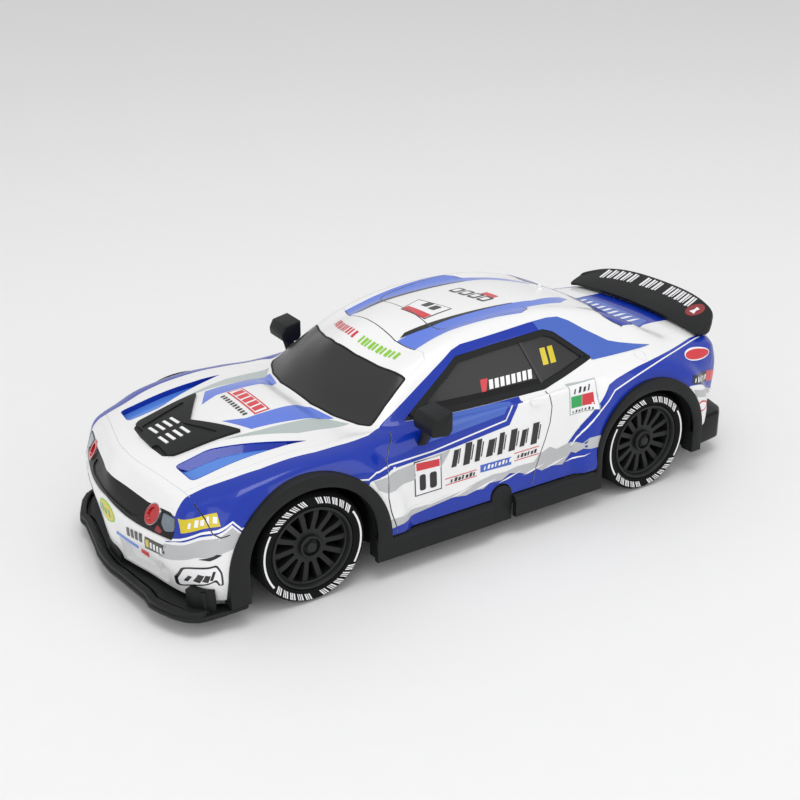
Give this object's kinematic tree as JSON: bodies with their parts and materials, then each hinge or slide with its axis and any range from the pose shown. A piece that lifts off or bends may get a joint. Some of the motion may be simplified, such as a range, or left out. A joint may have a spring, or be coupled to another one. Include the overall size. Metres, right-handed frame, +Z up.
{
  "type": "remote control car",
  "caption": "Remote control race car: a printed hard shell with windows, lamps and black aero trim, lifting off a shaft-driven chassis with steering, motor and battery.",
  "frame": {"origin": "on the ground, midway between the axles, on the centre line", "axes": "+X towards the front of the car, +Y to its left side, +Z up"},
  "size_m": [0.306, 0.1446, 0.09],
  "materials": {
    "painted_shell": "gloss white printed with blue, silver and black",
    "smoked_window": "gloss, near-black",
    "lamp_lens": "gloss, clear grey",
    "red_lens": "gloss, translucent red",
    "satin_grille": "satin",
    "black_trim": "satin, fine moulded grain",
    "chassis_plastic": "matt glass-filled plastic",
    "battery_wrap": "shrink wrap",
    "motor_can": "zinc plated",
    "steel_shaft": "ground",
    "brass_gear": "machined",
    "nylon_gear": "natural nylon",
    "green_board": "solder mask",
    "wheel_plastic": "satin dark grey",
    "tyre_rubber": "matt rubber with printed white marks",
    "switch_red": "satin"
  },
  "bodies": {
    "chassis": {"chassis_plate": "chassis_plastic", "front_gearbox": "chassis_plastic", "rear_gearbox": "chassis_plastic", "top_deck": "chassis_plastic", "front_arm_left": "chassis_plastic", "front_arm_right": "chassis_plastic", "rear_axle_tube_left": "chassis_plastic", "rear_axle_tube_right": "chassis_plastic", "side_catch_left": "chassis_plastic", "side_catch_right": "chassis_plastic", "front_body_post": "chassis_plastic", "rear_body_post": "chassis_plastic", "battery_pack": "battery_wrap", "motor": "motor_can", "motor_mount": "motor_can", "servo": "chassis_plastic", "receiver_case": "chassis_plastic", "circuit_board": "green_board"},
    "shell": {"body_shell": "painted_shell", "windscreen": "smoked_window", "side_window_left": "smoked_window", "side_window_right": "smoked_window", "headlight_left": "lamp_lens", "headlight_right": "lamp_lens", "tail_light_panel": "red_lens", "grille_panel": "satin_grille", "ring_lamp_left": "red_lens", "ring_lamp_right": "red_lens", "hood_scoop": "satin_grille", "spoiler": "black_trim", "mirror_left": "black_trim", "mirror_right": "black_trim", "front_splitter": "black_trim", "rear_diffuser": "black_trim", "front_skirt_left": "black_trim", "front_skirt_right": "black_trim", "rear_skirt_left": "black_trim", "rear_skirt_right": "black_trim"},
    "rear_wheels": {"rear_axle": "steel_shaft", "rear_rim_left": "wheel_plastic", "rear_rim_right": "wheel_plastic", "rear_tyre_left": "tyre_rubber", "rear_tyre_right": "tyre_rubber"},
    "front_drive": {"front_axle": "steel_shaft"},
    "drive_line": {"drive_shaft": "steel_shaft", "spur_gear": "nylon_gear"},
    "motor_rotor": {"motor_pinion": "brass_gear"},
    "upright_left": {"knuckle_left": "chassis_plastic"},
    "upright_right": {"knuckle_right": "chassis_plastic"},
    "wheel_front_left": {"stub_axle_left": "steel_shaft", "front_rim_left": "wheel_plastic", "front_tyre_left": "tyre_rubber"},
    "wheel_front_right": {"stub_axle_right": "steel_shaft", "front_rim_right": "wheel_plastic", "front_tyre_right": "tyre_rubber"},
    "steering_rack": {"steering_link": "chassis_plastic"},
    "steering_horn": {"servo_horn": "nylon_gear"},
    "battery_hatch": {"battery_door": "chassis_plastic"},
    "switch_knob": {"power_switch": "switch_red"}
  },
  "joints": [
    {"name": "body_lift", "type": "slide", "parent": "chassis", "child": "shell", "axis": [0, 0, 1], "range_m": [0, 0.08]},
    {"name": "rear_axle_spin", "type": "hinge", "parent": "chassis", "child": "rear_wheels", "pos_m": [-0.087, 0, 0.024], "axis": [0, 1, 0], "continuous": true},
    {"name": "front_drive_spin", "type": "hinge", "parent": "chassis", "child": "front_drive", "pos_m": [0.087, 0, 0.024], "axis": [0, 1, 0], "continuous": true},
    {"name": "drive_shaft_spin", "type": "hinge", "parent": "chassis", "child": "drive_line", "pos_m": [0, 0, 0.024], "axis": [1, 0, 0], "continuous": true},
    {"name": "motor_spin", "type": "hinge", "parent": "chassis", "child": "motor_rotor", "pos_m": [-0.02, -0.01654, 0.03002], "axis": [1, 0, 0], "continuous": true},
    {"name": "steer_left", "type": "hinge", "parent": "chassis", "child": "upright_left", "pos_m": [0.087, 0.044, 0.024], "axis": [0, 0, 1], "range_deg": [-20, 20]},
    {"name": "steer_right", "type": "hinge", "parent": "chassis", "child": "upright_right", "pos_m": [0.087, -0.044, 0.024], "axis": [0, 0, 1], "range_deg": [-20, 20]},
    {"name": "wheel_spin_front_left", "type": "hinge", "parent": "upright_left", "child": "wheel_front_left", "pos_m": [0.087, 0.044, 0.024], "axis": [0, 1, 0], "continuous": true},
    {"name": "wheel_spin_front_right", "type": "hinge", "parent": "upright_right", "child": "wheel_front_right", "pos_m": [0.087, -0.044, 0.024], "axis": [0, 1, 0], "continuous": true},
    {"name": "rack_slide", "type": "slide", "parent": "chassis", "child": "steering_rack", "axis": [0, 1, 0], "range_m": [-0.0078, 0.0078]},
    {"name": "horn_turn", "type": "hinge", "parent": "chassis", "child": "steering_horn", "pos_m": [0.063, -0.016, 0.032], "axis": [1, 0, 0], "range_deg": [-31, 31]},
    {"name": "battery_door_slide", "type": "slide", "parent": "chassis", "child": "battery_hatch", "axis": [-1, 0, 0], "range_m": [0, 0.05]},
    {"name": "power_switch_slide", "type": "slide", "parent": "chassis", "child": "switch_knob", "axis": [1, 0, 0], "range_m": [0, 0.004]}
  ],
  "couplings": [
    {"joint": "front_drive_spin", "follows": "rear_axle_spin", "ratio": 1},
    {"joint": "wheel_spin_front_left", "follows": "rear_axle_spin", "ratio": 1},
    {"joint": "wheel_spin_front_right", "follows": "rear_axle_spin", "ratio": 1},
    {"joint": "drive_shaft_spin", "follows": "rear_axle_spin", "ratio": -2},
    {"joint": "motor_spin", "follows": "rear_axle_spin", "ratio": 5.3333},
    {"joint": "steer_right", "follows": "steer_left", "ratio": 1},
    {"joint": "rack_slide", "follows": "steer_left", "m_per_rad": -0.0219},
    {"joint": "horn_turn", "follows": "steer_left", "ratio": -1.53}
  ]
}
